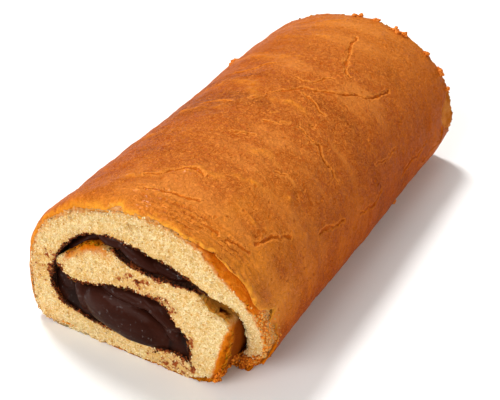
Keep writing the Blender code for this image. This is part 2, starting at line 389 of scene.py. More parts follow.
def cell_noise(points, size, seed):
    """Distance to the nearest of one random point per cell, in cells."""
    p = points / size
    cell = np.floor(p)
    nearest = np.full(p.shape[:-1], 9.0)
    for step in product((-1, 0, 1), repeat=3):
        corner = cell + step
        away = p - corner - np.stack([lattice(corner, seed + k) for k in range(3)], -1)
        nearest = np.minimum(nearest, (away ** 2).sum(-1))
    return np.sqrt(nearest)


# ---- Meshes ----


def grid_faces(rows, cols, first=0):
    """The quads of a grid of points that are numbered row by row."""
    i, j = np.meshgrid(np.arange(rows - 1), np.arange(cols - 1), indexing="ij")
    a = first + i * cols + j
    return np.stack([a, a + 1, a + cols + 1, a + cols], -1).reshape(-1, 4)


def border(rows, cols):
    """Index pairs round the edge of a grid, once round."""
    loop = [(i, 0) for i in range(rows)]
    loop += [(rows - 1, j) for j in range(1, cols)]
    loop += [(i, cols - 1) for i in range(rows - 2, -1, -1)]
    loop += [(0, j) for j in range(cols - 2, 0, -1)]
    return np.array(loop)


def mesh_from(name, points, faces, values):
    """A smooth mesh in metres with one named number per point for each entry of values."""
    mesh = bpy.data.meshes.new(name)
    mesh.from_pydata((points * MM).tolist(), [], faces)
    for key, numbers in values.items():
        attribute = mesh.attributes.new(key, "FLOAT", "POINT")
        attribute.data.foreach_set("value", np.ascontiguousarray(numbers, np.float32))
    work = bmesh.new()
    work.from_mesh(mesh)
    bmesh.ops.recalc_face_normals(work, faces=work.faces[:])
    work.to_mesh(mesh)
    work.free()
    mesh.shade_smooth()
    return mesh


def slab(name, near, rings, far, values):
    """A closed solid: a near face, rings round its edge along the roll, and a far face.

    near and far are grids of points; each ring has one point for each point of their border.
    values holds, for each name, the same three parts.
    """
    rows, cols = near.shape[:2]
    edge = border(rows, cols)
    near_count, ring_size = rows * cols, len(edge)
    points = np.concatenate([np.reshape(part, (-1, 3)) for part in (near, rings, far)])
    far_first = near_count + len(rings) * ring_size
    loop = edge[:, 0] * cols + edge[:, 1]
    grain_shade = [near_count + k * ring_size + np.arange(ring_size) for k in range(len(rings))]
    loops = [loop, *grain_shade, far_first + loop]
    faces = [grid_faces(rows, cols), grid_faces(rows, cols, far_first)[:, ::-1]]
    for a, b in zip(loops, loops[1:]):
        faces.append(np.stack([np.roll(a, -1), a, b, np.roll(b, -1)], -1))
    flat = {
        key: np.concatenate([np.ravel(part) for part in parts]) for key, parts in values.items()
    }
    return mesh_from(name, points, np.concatenate(faces).tolist(), flat)


def even_places(curves, step, start, end):
    """Places from start to end, at most this step apart on every one of the curves."""
    fine = np.linspace(start, end, 6000)
    moved = np.zeros(len(fine) - 1)
    for curve in curves(fine):
        moved = np.maximum(moved, np.linalg.norm(np.diff(curve, axis=0), axis=1))
    way = np.concatenate([[0], np.cumsum(moved)])
    return np.interp(np.linspace(0, way[-1], int(way[-1] / step) + 1), way, fine)


def above_floor(mesh):
    """Flattens what would dip below the floor."""
    places = np.empty(len(mesh.vertices) * 3)
    mesh.vertices.foreach_get("co", places)
    places[2::3] = np.maximum(places[2::3], 0.0)
    mesh.vertices.foreach_set("co", places)
    mesh.update()


def linked(name, data):
    """A new object with this data, in the scene."""
    made = bpy.data.objects.new(name, data)
    bpy.context.scene.collection.objects.link(made)
    return made


def finish_piece(name, mesh, material, node):
    """Puts the mesh in the scene as a piece at the origin, riding on the roll."""
    mesh.name = name
    above_floor(mesh)
    if material:
        mesh.materials.clear()
        mesh.materials.append(material)
    piece = linked(name, mesh)
    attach(piece, "root")
    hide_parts(node)


# ---- Nodes ----


class Wire:
    """An output of a node, to be added to, multiplied and so on like a number."""

    def __init__(self, socket):
        self.socket = socket
        self.tree = socket.id_data

    def math(self, operation, other=0.0, swapped=False):
        values = {0: other, 1: self} if swapped else {0: self, 1: other}
        return put(self.tree, "ShaderNodeMath", values, operation=operation)

    def __add__(self, other):
        return self.math("ADD", other)

    def __sub__(self, other):
        return self.math("SUBTRACT", other)

    def __rsub__(self, other):
        return self.math("SUBTRACT", other, swapped=True)

    def __mul__(self, other):
        return self.math("MULTIPLY", other)

    def __truediv__(self, other):
        return self.math("DIVIDE", other)

    def __rtruediv__(self, other):
        return self.math("DIVIDE", other, swapped=True)

    def at_least(self, other):
        return self.math("MAXIMUM", other)


def feed(node, values):
    """Sets inputs of a node, by name or by number: a wire is linked, all else is the value."""
    for key, value in values.items():
        socket = node.inputs[key]
        if isinstance(value, Wire):
            node.id_data.links.new(value.socket, socket)
        elif socket.type == "RGBA":
            socket.default_value = (*value[:3], 1.0)
        else:
            socket.default_value = value


def put(tree, kind, values=None, out=0, **settings):
    """Adds a node and gives the wire from one of its outputs."""
    node = tree.nodes.new(kind)
    for key, value in settings.items():
        setattr(node, key, value)
    feed(node, values or {})
    return Wire(node.outputs[out])


def new_group(name, kind, inputs, outputs):
    """A node group with inputs, (name, socket, default), and outputs, (name, socket).

    Gives the group, the wires from its inputs by name, and its output node.
    """
    group = bpy.data.node_groups.new(name, kind)
    for label, socket, default in inputs:
        made = group.interface.new_socket(label, in_out="INPUT", socket_type="NodeSocket" + socket)
        if default is not None:
            made.default_value = default
    for label, socket in outputs:
        group.interface.new_socket(label, in_out="OUTPUT", socket_type="NodeSocket" + socket)
    given, out = group.nodes.new("NodeGroupInput"), group.nodes.new("NodeGroupOutput")
    return group, {socket.name: Wire(socket) for socket in given.outputs}, out


def spread(value, low, high):
    """The value stretched so that low becomes 0 and high becomes 1."""
    return put(value.tree, "ShaderNodeMapRange", {
        "Value": value, "From Min": low, "From Max": high,
    }, interpolation_type="SMOOTHSTEP")


def scaled(vector, amount):
    return put(vector.tree, "ShaderNodeVectorMath", {0: vector, 3: amount}, operation="SCALE")


def shifted(geometry, offset):
    return put(geometry.tree, "GeometryNodeSetPosition", {"Geometry": geometry, "Offset": offset})


def stored(geometry, name, value):
    return put(geometry.tree, "GeometryNodeStoreNamedAttribute", {
        "Geometry": geometry, "Name": name, "Value": value,
    }, data_type="FLOAT", domain="POINT")


def read(tree, name):
    return put(tree, "GeometryNodeInputNamedAttribute", {"Name": name})


def random_between(tree, low, high, seed):
    return put(tree, "FunctionNodeRandomValue", {2: low, 3: high, 8: seed}, 1, data_type="FLOAT")


def pore_tree():
    """Presses round pores of random size into the surface, where the mask lets it."""
    tree, ask, out = new_group("Pores", "GeometryNodeTree", (
        ("Mesh", "Geometry", None),
        ("Mask", "String", "cut"),
        ("Mark", "String", "pore"),
        ("Density", "Float", 1e5),
        ("Smallest", "Float", 0.0004),
        ("Largest", "Float", 0.001),
        ("Depth", "Float", 1.0),
        ("Seed", "Int", 1),
    ), [("Mesh", "Geometry")])
    mask = read(tree, ask["Mask"])
    inside = put(
        tree, "FunctionNodeCompare", {0: mask, 1: 0.5}, data_type="FLOAT", operation="GREATER_THAN"
    )
    spots = put(tree, "GeometryNodeDistributePointsOnFaces", {
        "Mesh": ask["Mesh"], "Selection": inside, "Density": ask["Density"], "Seed": ask["Seed"],
    })
    radius = random_between(tree, ask["Smallest"], ask["Largest"], ask["Seed"])
    marked = stored(spots, "radius", radius)
    nearest = put(tree, "GeometryNodeSampleNearest", {"Geometry": marked})
    reach = put(tree, "GeometryNodeSampleIndex", {
        "Geometry": marked, "Value": read(tree, "radius"), "Index": nearest,
    }, data_type="FLOAT", domain="POINT")
    away = put(tree, "GeometryNodeProximity", {0: marked}, "Distance", target_element="POINTS")
    pressed = spread(away / reach, 1.0, 0.25) * mask
    normal = put(tree, "GeometryNodeInputNormal")
    moved = shifted(ask["Mesh"], scaled(normal, pressed * reach * ask["Depth"] * -1.0))
    noted = stored(moved, ask["Mark"], read(tree, ask["Mark"]).at_least(pressed))
    feed(out, {0: noted})
    return tree


def crumb_tree():
    """Scatters small rough crumbs over the part of the surface that the mask picks."""
    tree, ask, out = new_group("Loose crumbs", "GeometryNodeTree", (
        ("Mesh", "Geometry", None),
        ("Mask", "String", "shaggy"),
        ("Density", "Float", 1e5),
        ("Smallest", "Float", 0.0002),
        ("Largest", "Float", 0.0006),
        ("Roughness", "Float", 0.4),
        ("Flatness", "Float", 1.0),
        ("Lift", "Float", 0.0),
        ("Seed", "Int", 1),
        ("Material", "Material", None),
    ), [("Mesh", "Geometry")])
    seed = ask["Seed"]
    spots = put(tree, "GeometryNodeDistributePointsOnFaces", {
        "Mesh": ask["Mesh"], "Density": read(tree, ask["Mask"]) * ask["Density"], "Seed": seed,
    })
    normal = Wire(spots.socket.node.outputs["Normal"])
    ball = put(tree, "GeometryNodeMeshIcoSphere", {"Radius": 1.0, "Subdivisions": 1})
    size = random_between(tree, ask["Smallest"], ask["Largest"], seed)
    stretch = random_between(tree, 0.7, 1.7, seed + 5.0)
    rise = random_between(tree, 0.0, ask["Lift"], seed + 9.0) * size
    turn = put(
        tree, "FunctionNodeRandomValue", {1: (math.tau,) * 3, 8: seed}, data_type="FLOAT_VECTOR"
    )
    placed = put(tree, "GeometryNodeInstanceOnPoints", {
        "Points": shifted(spots, scaled(normal, rise)), "Instance": ball, "Rotation": turn,
        "Scale": put(tree, "ShaderNodeCombineXYZ", {
            0: size * ask["Flatness"], 1: size, 2: size * stretch,
        }),
    })
    real = put(tree, "GeometryNodeRealizeInstances", {"Geometry": placed})
    bumpy = put(tree, "ShaderNodeTexNoise", {"Scale": 1500.0, "Detail": 1.0}, "Color")
    push = put(tree, "ShaderNodeVectorMath", {0: bumpy, 1: (0.5, 0.5, 0.5)}, operation="SUBTRACT")
    rough = shifted(real, scaled(push, ask["Largest"] * ask["Roughness"]))
    smooth = put(tree, "GeometryNodeSetShadeSmooth", {"Geometry": rough})
    feed(out, {0: put(tree, "GeometryNodeSetMaterial", {
        "Geometry": smooth, "Material": ask["Material"],
    })})
    return tree


def run_tree(mesh, tree, values):
    """The plain mesh that a tree makes from this one, with its inputs set by name."""
    carrier = linked("carrier", mesh)
    modifier = carrier.modifiers.new("shape", "NODES")
    modifier.node_group = tree
    for item in tree.interface.items_tree:
        if item.item_type == "SOCKET" and item.in_out == "INPUT" and item.name in values:
            modifier[item.identifier] = values[item.name]
    depsgraph = bpy.context.evaluated_depsgraph_get()
    result = bpy.data.meshes.new_from_object(
        carrier.evaluated_get(depsgraph), preserve_all_data_layers=True, depsgraph=depsgraph
    )
    carrier.modifiers.clear()
    bpy.data.objects.remove(carrier, do_unlink=True)
    return result


# ---- Materials ----


def grain_group():
    """Shared grain: broad patches, mottle and fine height from the object's own coordinates."""
    name = "Baked grain"
    if name in bpy.data.node_groups:
        return bpy.data.node_groups[name]
    group, ask, out = new_group(
        name, "ShaderNodeTree",
        (("Patch Size", "Float", 0.02), ("Grain Size", "Float", 0.001), ("Stretch", "Float", 2.0)),
        (("Patches", "Float"), ("Mottle", "Float"), ("Height", "Float")),
    )
    place = object_place(group)
    thin = 1.0 / ask["Stretch"]
    squeeze = put(group, "ShaderNodeCombineXYZ", {0: thin, 1: 1.0, 2: thin})
    drawn = put(group, "ShaderNodeVectorMath", {0: place, 1: squeeze}, operation="MULTIPLY")
    patch_scale = 1.0 / ask["Patch Size"]
    feed(out, {
        "Patches": put(group, "ShaderNodeTexNoise", {
            "Vector": drawn, "Scale": patch_scale, "Detail": 4.0, "Roughness": 0.55,
            "Distortion": 0.6,
        }),
        "Mottle": put(group, "ShaderNodeTexNoise", {
            "Vector": place, "Scale": patch_scale * 5.0, "Detail": 3.0,
        }),
        "Height": put(group, "ShaderNodeTexNoise", {
            "Vector": place, "Scale": 1.0 / ask["Grain Size"], "Detail": 2.0, "Roughness": 0.6,
            "Distortion": 1.2,
        }),
    })
    return group


def grain_node(tree, *sizes):
    """Patches, mottle and height of grain with these sizes of patch and grain, and stretch."""
    node = tree.nodes.new("ShaderNodeGroup")
    node.node_tree = grain_group()
    feed(node, dict(enumerate(sizes)))
    return [Wire(socket) for socket in node.outputs]


def object_place(tree):
    return put(tree, "ShaderNodeTexCoord", out="Object")


def cells(tree, scale):
    """Distance to the middles of scattered cells."""
    return put(tree, "ShaderNodeTexVoronoi", {"Vector": object_place(tree), "Scale": scale})


def attribute(tree, name):
    return put(tree, "ShaderNodeAttribute", out="Fac", attribute_name=name)


def ranged(value, low, high):
    """The value, from 0 to 1, turned into a value from low to high."""
    return put(value.tree, "ShaderNodeMapRange", {"Value": value, "To Min": low, "To Max": high})


def bump(height, strength, distance):
    return put(height.tree, "ShaderNodeBump", {
        "Strength": strength, "Distance": distance, "Height": height,
    })


def worms(height, reach):
    """Thin winding lines where the fine grain crosses its middle."""
    return spread((height - 0.5).math("ABSOLUTE"), reach, 0.0)


def painted(colour, *coats, mode="MIX"):
    """A colour with coats laid over it in turn: (share, colour)."""
    for share, over in coats:
        tree = (share if isinstance(share, Wire) else colour).tree
        colour = put(tree, "ShaderNodeMix", {
            0: share, 6: colour, 7: over,
        }, 2, data_type="RGBA", blend_type=mode)
    return colour


def new_material(name, values):
    """A material whose shader has these inputs."""
    material = bpy.data.materials.new(name)
    material.use_nodes = True
    shader = material.node_tree.nodes["Principled BSDF"]
    feed(shader, values)
    return material, material.node_tree, shader


def crust_colour(look, patches, mottle):
    """Browned crust: dark and light patches over the middle brown."""
    return painted(
        look.mid,
        (spread(patches, 0.50, 0.32) * 0.9, look.dark),
        (spread(patches, 0.52, 0.68) * 0.55, look.light),
        (spread(mottle, 0.5, 0.75) * 0.2, look.light),
    )


def skin_material(look):
    material, tree, shader = new_material("browned_skin", {
        "Roughness": look.roughness, "Specular IOR Level": 0.025,
        "Specular Tint": (1.0, 0.55, 0.28), "Coat Roughness": 0.28,
    })
    patches, mottle, height = grain_node(tree, 0.024, look.grain, 2.6)
    _, coarse_mottle, coarse = grain_node(tree, 0.030, 0.0065, 1.0)
    lines = worms(height, 0.10)
    pocks = spread(cells(tree, 260.0), 0.24, 0.08) * spread(mottle, 0.46, 0.56)
    creases = worms(coarse, 0.035) * (spread(coarse_mottle, 0.50, 0.60) * 0.78)
    ragged = attribute(tree, "crack").at_least(creases) + (height - 0.5) * 0.8
    open_crack = spread(ragged, 0.62, 0.84).at_least(pocks * 0.8)
    colour = painted(
        crust_colour(look, patches, mottle),
        (attribute(tree, "pale"), look.edge),
        (lines * 0.6, look.light),
        (spread(height, 0.42, 0.28) * 0.08, look.dark),
        (attribute(tree, "rim"), look.torn),
        (spread(ragged, 0.30, 0.62) * 0.75, look.crack_edge),
        (open_crack * 0.9, look.crack),
    )
    flank = attribute(tree, "flank")
    feed(shader, {
        "Base Color": painted(colour, (flank, look.flank), mode="MULTIPLY"),
        "Roughness": ranged(mottle, look.roughness - 0.10, look.roughness + 0.14),
        "Coat Weight": spread(height, 0.57, 0.68) * 0.32 * (1.0 - flank),
        "Normal": bump(height + lines * 0.25 + coarse * 1.3 - open_crack * 0.6, 0.9, 0.0009),
    })
    return material


def crumb_material(look, crust):
    """Open crumb on the cut faces, browned or soaked where the attributes say so."""
    material, tree, shader = new_material("open_crumb", {
        "Roughness": 0.75, "Specular IOR Level": 0.04, "Specular Tint": (1.0, 0.6, 0.3),
        "Subsurface Weight": 0.35, "Subsurface Scale": 0.002, "Subsurface Radius": (1.0, 0.6, 0.25),
    })
    patches, mottle, height = grain_node(tree, 0.012, 0.0017, 1.0)
    crust_patches, crust_mottle, _ = grain_node(tree, 0.02, crust.grain, 2.0)
    soak, moist = attribute(tree, "soak"), attribute(tree, "moist")
    # Dark dots of painted shade for pores too fine to model.
    fine_pore_shade_dots = spread(cells(tree, 560.0), 0.31, 0.19) * (spread(mottle, 0.49, 0.58) * 0.95)
    brown = painted(
        crust_colour(crust, crust_patches, crust_mottle),
        (0.7, look.toast),
        # painted shade on the crust folded in under the wrap
        (attribute(tree, "inside") * 0.9, look.inside),
    )
    wet = painted(crust.moist, (spread(mottle, 0.45, 0.65) * 0.4, crust.edge))
    stain = soak - spread(height, 0.35, 0.65) * 0.32
    rubbed = spread(stain, 0.50, 0.72)
    colour = painted(
        look.pale,
        (spread(patches, 0.42, 0.66), look.warm),
        (spread(mottle, 0.50, 0.30) * 0.6, look.warm),
        # painted shade in the low places between the grains
        (spread(height, 0.46, 0.32) * 0.5, look.grain_shade),
        # painted highlight along the fine winding lines of the grain
        (worms(height, 0.08) * 0.7, look.bright),
        # painted shade of the finest pores
        (fine_pore_shade_dots, look.fine_pore_shade),
        # painted shade down in the pressed pores
        (attribute(tree, "pore") * 0.9, look.pore),
        (attribute(tree, "brown"), brown),
        (moist, wet),
        (attribute(tree, "hollow") * 0.95, look.hollow),
        # painted shade: the weak halo round the cream
        (spread(soak, 0.0, HALO) * 0.5, look.grain_shade),
        (spread(stain, 0.14, 0.42), look.soaked),
        (rubbed, look.chocolate),
    )
    feed(shader, {
        "Base Color": colour,
        "Roughness": 0.78 - rubbed * 0.38 - moist * 0.28,
        "Normal": bump(height, 0.85, 0.0009),
    })
    return material


def cream_material(look):
    material, tree, shader = new_material("glossy_cream", {
        "Roughness": look.roughness, "Specular IOR Level": 0.04,
        "Specular Tint": (1.0, 0.6, 0.5), "Coat Roughness": 0.20,
    })
    patches, mottle, height = grain_node(tree, 0.010, 0.0016, 4.0)
    glints = spread(height, 0.54, 0.64) * 0.9 * spread(mottle, 0.53, 0.60)
    feed(shader, {
        "Base Color": painted(
            # painted shade where the cream lies low
            look.dark, (spread(patches, 0.4, 0.7), look.mid), (attribute(tree, "deep"), look.deep)
        ),
        "Roughness": ranged(mottle, look.roughness - 0.06, look.roughness + 0.14),
        "Coat Weight": glints.at_least(spread(patches, 0.46, 0.70) * 0.05),
        "Normal": bump(patches, 0.3, 0.0008),
    })
    return material


def bit_material(name, colour, tip):
    """Loose bits of crumb or crust."""
    material, tree, shader = new_material(name, {"Roughness": 0.7, "Specular IOR Level": 0.04})
    _, mottle, height = grain_node(tree, 0.004, 0.0006, 1.0)
    feed(shader, {
        "Base Color": painted(colour, (spread(mottle, 0.4, 0.6), tip)),
        "Normal": bump(height, 0.5, 0.0002),
    })
    return material


def once(name, make, *given):
    """The named material, made the first time it is asked for."""
    return bpy.data.materials.get(name) or make(*given)


# ---- Settings ----


def paint(label, text, default):
    return FloatVectorProperty(
        name=label, description=text, subtype="COLOR", size=3, min=0.0, max=1.0, default=default
    )


def number(label, text, default, **more):
    return FloatProperty(name=label, description=text, min=0.0, default=default, **more)


def length(label, text, default):
    return number(label, text, default, unit="LENGTH")


class CrumbLook(PropertyGroup):
    """The crumb of the two cut faces."""

    mesh_step: length("Mesh step", "Distance between points of the faces", 0.00058)
    pore_smallest: length("Smallest pore", "Radius of the smallest pores", 0.0004)
    pore_largest: length("Largest pore", "Radius of the largest pores", 0.0012)
    pore_density: number("Pore density", "Pores in each square metre", 60000.0)
    seed: IntProperty(name="Seed", description="Changes where the pores fall", default=3)
    pale: paint("Pale crumb", "Main colour of the crumb", (0.625, 0.448, 0.200))
    # Painted highlight along the fine grain lines of the cut faces; on loose crumbs, a lighter tone at
    # random.
    warm: paint("Warm crumb", "Colour of the yellower patches", (0.600, 0.366, 0.120))
    bright: paint("Bright crumb", "Colour of the highest grains", (0.92, 0.76, 0.46))
    # Painted shade: the darker colour laid in the low places between the grains, and in the halo round
    # the cream.
    grain_shade: paint("Between grains", "Colour between the grains", (0.57, 0.30, 0.070))
    # Painted shade: dark dots that stand in for pores too fine to press into the mesh.
    fine_pore_shade: paint("Specks", "Colour of the fine specks", (0.44, 0.20, 0.022))
    inside: paint("Shaded crust", "Crust folded in under the wrap", (0.16, 0.026, 0.0008))
    # Painted shade: a darker, warmer colour laid down in the pressed pores.
    pore: paint("Pores", "Colour down in the pores", (0.62, 0.33, 0.065))
    toast: paint("Toasted crumb", "Browned crumb of the block and tongue", (0.60, 0.165, 0.002))
    hollow: paint("Hollow", "Shaded crumb inside the fold", (0.42, 0.145, 0.009))
    soaked: paint("Soaked crumb", "Crumb stained by the cream", (0.28, 0.060, 0.015))
    chocolate: paint("Chocolate", "Cream rubbed on the crumb", (0.035, 0.014, 0.009))


class CrustLook(PropertyGroup):
    """The browned skin over the outside of the roll."""

    mesh_step: length("Mesh step", "Distance between points of the skin", 0.00068)
    grain: length("Grain", "Size of the fine wrinkles in the skin", 0.0016)
    wrinkle: length("Wrinkle height", "Height of creases by the cut face", 0.00045)
    lip: length("Lip", "How far the left shoulder swells by the cut face", 0.0016)
    pit_density: number("Pit density", "Small pits in each square metre", 5000.0)
    roughness: number("Roughness", "Roughness of the skin", 0.42, max=1.0)
    dark: paint("Dark crust", "Colour of the browner patches", (0.25, 0.041, 0.002))
    mid: paint("Crust", "Main colour of the crust", (0.415, 0.081, 0.0062))
    crack_edge: paint("Crack edges", "Torn edges of the cracks", (0.88, 0.29, 0.045))
    light: paint("Light crust", "Colour of the lighter patches", (0.80, 0.265, 0.046))
    flank: paint("Flank", "Tints the crust low on the right", (0.76, 0.52, 0.085))
    edge: paint("Edge", "Golden edge by the cut face", (0.80, 0.255, 0.022))
    torn: paint("Torn edge", "Colour of the skin's broken edge", (0.90, 0.36, 0.035))
    crack: paint("Cracks", "Colour down in the cracks", (0.50, 0.100, 0.0040))
    moist: paint("Under the skin", "Moist crumb where skin is torn", (0.54, 0.130, 0.004))


class CreamLook(PropertyGroup):
    """The chocolate cream."""

    mesh_step: length("Mesh step", "Distance between points of the cream", 0.0005)
    roughness: number("Roughness", "Roughness of the cream", 0.32, max=1.0)
    dark: paint("Dark cream", "Main colour of the cream", (0.017, 0.0036, 0.0019))
    mid: paint("Light cream", "Colour of the lighter streaks", (0.031, 0.0068, 0.0034))
    # Painted shade: the darker colour laid where the cream lies low, between and round its lobes.
    deep: paint("Deep cream", "Colour down in the hollows", (0.010, 0.0032, 0.0020))


class BitsLook(PropertyGroup):
    """The loose crumbs."""

    density: number("Density", "Crumbs in each square metre of cut face", 1500000.0)
    smallest: length("Smallest", "Radius of the smallest crumbs", 0.00013)
    largest: length("Largest", "Radius of the largest crumbs", 0.00042)
    seed: IntProperty(name="Seed", description="Changes where the crumbs fall", default=11)


class StageLook(PropertyGroup):
    """Floor, light and camera."""

    floor: paint("Floor", "Colour of the floor", (0.93, 0.93, 0.93))
    key: number("Key", "Strength of the key light", 2.5)
    fill: number("Fill", "Strength of the fill light", 2.1)
    bounce: number("Bounce", "Strength of the warm light thrown back", 0.7)
    air: number("Air", "Strength of the light all round", 0.38)


# ---- The crumb ----


def sink_at(deg, distance):
    """How far the outside has sunk near the cut face."""
    return table(EDGE_SINK, deg) * unit(1 - distance / EDGE_REACH) ** 2


def body_section(span, depth, distance):
    """Section points of the crumb body, under the skin, at a distance from the cut face."""
    cream, crust = sheet_sides(span)
    deg = wrap_angle(span)
    on_wrap = ramp(WRAP_START + 1.2, WRAP_START + 2.0, span)
    deeper = 0.5 * ramp(22, 34, distance) * ramp(4, 20, LENGTH - distance)
    drop = (SKIN + deeper + sink_at(deg, distance)) * on_wrap
    crust = crust - dome_normal(deg) * drop[..., None]
    return cream + (crust - cream) * depth[..., None]


def soak_of(span, depth, thickness):
    """How near a point of the sheet is to cream, from 0 to 1."""
    from_cream, from_crust = depth * thickness, (1 - depth) * thickness
    near = np.maximum(window(span, *CORE_ABOVE), window(span, CORE_BELOW[0], BAND_ABOVE[1]))
    # Soak stain close to the cream; beyond it a weak halo, up to HALO, of painted shade round the
    # cream.
    soak = near * np.maximum(1 - from_cream / 1.7, HALO * (1 - from_cream / 6.5))
    band = window(span, BAND_BELOW[0] + 2.4, BAND_BELOW[1])
    soak = np.maximum(soak, band * np.maximum(1 - from_crust / 1.6, HALO * (1 - from_crust / 5)))
    return unit(soak)


BODY_MARKS = ("brown", "moist", "soak", "hollow", "inside", "shaggy", "foot", "smeared", "frayed")


def body_marks(span, depth, distance, points):
    """Brown, moist, soak, hollow and inside marks of the crumb at these points.

    Brown also holds painted warm light low on the wrap's tail, soak a halo of painted shade round
    the cream; hollow is painted shade, and inside is painted shade on the crust folded in, with
    darker spots on the far tear.
    """
    thickness = sheet_thickness(span)
    deg = wrap_angle(span)
    outer = (1 - depth) * thickness
    wobble = 0.35 * noise(points, 3.0, 41)
    folded = fall(WRAP_START + 1.0, WRAP_START + 2.0, span)
    reach = 0.7 + 3.6 * window(span, *BLOCK_BEVEL, 0.6) * (1 - 0.5 * window(span, *BLOCK_CORNER, 0.8))
    brown = folded * window(span, *BLOCK_SIDE) * unit(0.5 + (reach - outer) + wobble)
    bare = (1 - folded) * unit(1.2 - outer / 1.6 + wobble)
    strip = fall(2.5, 5.0, distance + 2.5 * smooth_noise(points, 3.0, 42))
    low = fall(10, 22, deg)
    moist = bare * fall(*TORN_SIDE, deg) * (1 - low + low * (0.4 + 0.6 * strip))
    far = ramp(*FAR_TEAR, distance)
    spotted = ramp(-0.4, 0.4, noise(points, 4.0, 44, 2))
    toasted = window(span, *TOASTED_TIP) * fall(1.5, 6.5, outer + 2.5 * wobble)
    # Painted warm light: the low part of the wrap's tail is browned a little, as if lit warm from
    # below.
    tail_warm_light = fall(6, 22, points[..., 2]) * ramp(*WARM_LIT_TAIL, span)
    brown = np.maximum.reduce([
        brown, 0.65 * bare * ramp(56, 68, deg), bare * far * (0.9 + 0.1 * spotted),
        folded * toasted, 0.16 * (1 - folded) * unit(1 - outer / 7.0), 0.4 * tail_warm_light,
    ])
    soak = soak_of(span, depth, thickness) * (1.0 + wobble)
    # Painted shade on the crust folded in under the wrap, darker further from the cut face; on the far
    # tear it gives darker spots.
    inside = folded * ramp(1.0, 5.5, distance + 1.5 * smooth_noise(points, 4.0, 43))
    inside = np.maximum(inside, bare * far * (0.1 + 0.3 * spotted))
    # Painted shade: darker crumb in the hollow beside the fold and in the wrap's hollow.
    hollow = window(span, *FOLD_HOLLOW) * unit(1.2 - outer / 1.6)
    hollow = np.maximum(hollow, window(span, *WRAP_HOLLOW) * unit(1 - depth * thickness / 1.2))
    return brown, moist * (1 - far), unit(soak), hollow, inside


def face_relief(span, depth, section, points):
    """How far the near face sinks or stands out, positive into the roll."""
    clump = cell_noise(points + noise(points, 1.6, 8, 2)[..., None] * 0.5, 1.35, 9)
    relief = 0.8 * noise(points, 7.0, 5, 2) + 0.9 * (clump - 0.45)
    relief += 0.30 * noise(points, 1.5, 6, 2, 0.8)
    thickness = sheet_thickness(span)
    outer, inner = (1 - depth) * thickness, depth * thickness
    for edge, reach, deep, where in (
        (outer, 1.6, 0.6, 1.0),
        (inner, 1.3, 1.0, 1.0),
        (outer, 4.0, 3.5, window(span, 6.3, 7.9)),
        (outer, 4.6, 2.8, window(span, 8.8, 12.0)),
        (outer, 4.0, 1.6, window(span, 0.5, 3.4)),
    ):
        relief += deep * where * unit(1 - edge / reach) ** 2
    for across, up, radius, depth_mm in FACE_HOLES:
        away = np.hypot(section[..., 0] - across, section[..., 1] - up)
        away = away * (1 + 0.35 * smooth_noise(points, 1.6, 77))
        relief += depth_mm * fall(0.35 * radius, radius, away)
    return relief


def smears_at(section, points):
    """How strongly cream is smeared over these points of the near face."""
    total = 0.0
    for across, up, wide, high, most in SMEARS:
        r = np.hypot((section[..., 0] - across) / wide, (section[..., 1] - up) / high)
        total = np.maximum(total, np.minimum(1.15 - r, most))
    return np.clip(total + 0.3 * noise(points, 1.6, 23) * (total > 0), 0, 0.75)


def shag(points, distance):
    """Ragged edge: an uneven shift in the plane of the section that dies out along the roll."""
    reach = unit(1 - distance / 4.0)
    shift = [noise(points, 1.5, seed, 2, 0.8) for seed in (51, 52)]
    return 0.8 * reach[..., None] * np.stack(shift, -1)


def foot_mask(section, distance):
    """Where ragged orange bits gather: low on the right, by the near cut face."""
    x, z = section[..., 0], section[..., 1]
    low = fall(5, 12, z) * ramp(29, 34, x)
    return low * fall(12, 20, distance)


def sheet_points(span, depth, station):
    """Distance from the near face, place in the section and point, for places on the sheet."""
    distance = np.full(span.shape, station + HALF)
    section = body_section(span, depth, distance)
    set_back = torn(wrap_angle(span)) * (span > WRAP_START)
    return distance, section, in_roll(section, station, set_back)


def body_side(span, depth, station):
    """A ring of points round the sheet, with their marks."""
    distance, section, points = sheet_points(span, depth, station)
    points[:, [0, 2]] += shag(points, np.minimum(distance, HALF - station))
    marks = body_marks(span, depth, distance, points)
    bare = (depth > 0.9) * fall(8, 24, wrap_angle(span))
    bare = bare * fall(9, 14, station + HALF) * (span > WRAP_START)
    return points, (*marks, 0 * bare, foot_mask(section, distance), 0 * bare, 0.8 * bare)


def body_face(span, depth, side):
    """The points of a cut face, near (1) or far (-1), with their marks."""
    distance, section, points = sheet_points(span, depth, -side * HALF)
    relief = face_relief(span, depth, section, points)
    rim = sheet_thickness(span) * np.minimum(depth, 1 - depth)
    points[..., [0, 2]] += shag(points, 0 * distance) * hill(rim / 1.6)[..., None]
    points[..., 1] += side * (relief + 0.5)
    brown, moist, soak, hollow, inside = body_marks(span, depth, distance, points)
    near = side > 0
    soak = np.maximum(soak, smears_at(section, points) * near)
    stained = ramp(0.3, 0.6, soak)
    shaggy = (0.10 + 0.90 * np.exp(-rim / 0.9)) * (1.0 if near else 0.3)
    shaggy *= (1 - hollow) * (1 - stained) * (1 - moist) * (1 - brown)
    foot, smeared = foot_mask(section, distance) * near, stained * np.exp(-rim / 1.5) * near
    return points, (brown, moist, soak, hollow, inside, shaggy, foot, smeared, 0 * rim)


# Distances of the rings behind each cut face.
RINGS = np.array([0.7, 1.5, 2.5, 3.8, 5.5, 8.0, 11.0, 15.0, 20.0, 27.0, 38.0, 60.0])
THICKEST = 15.5            # of the sheet, for the number of points across it


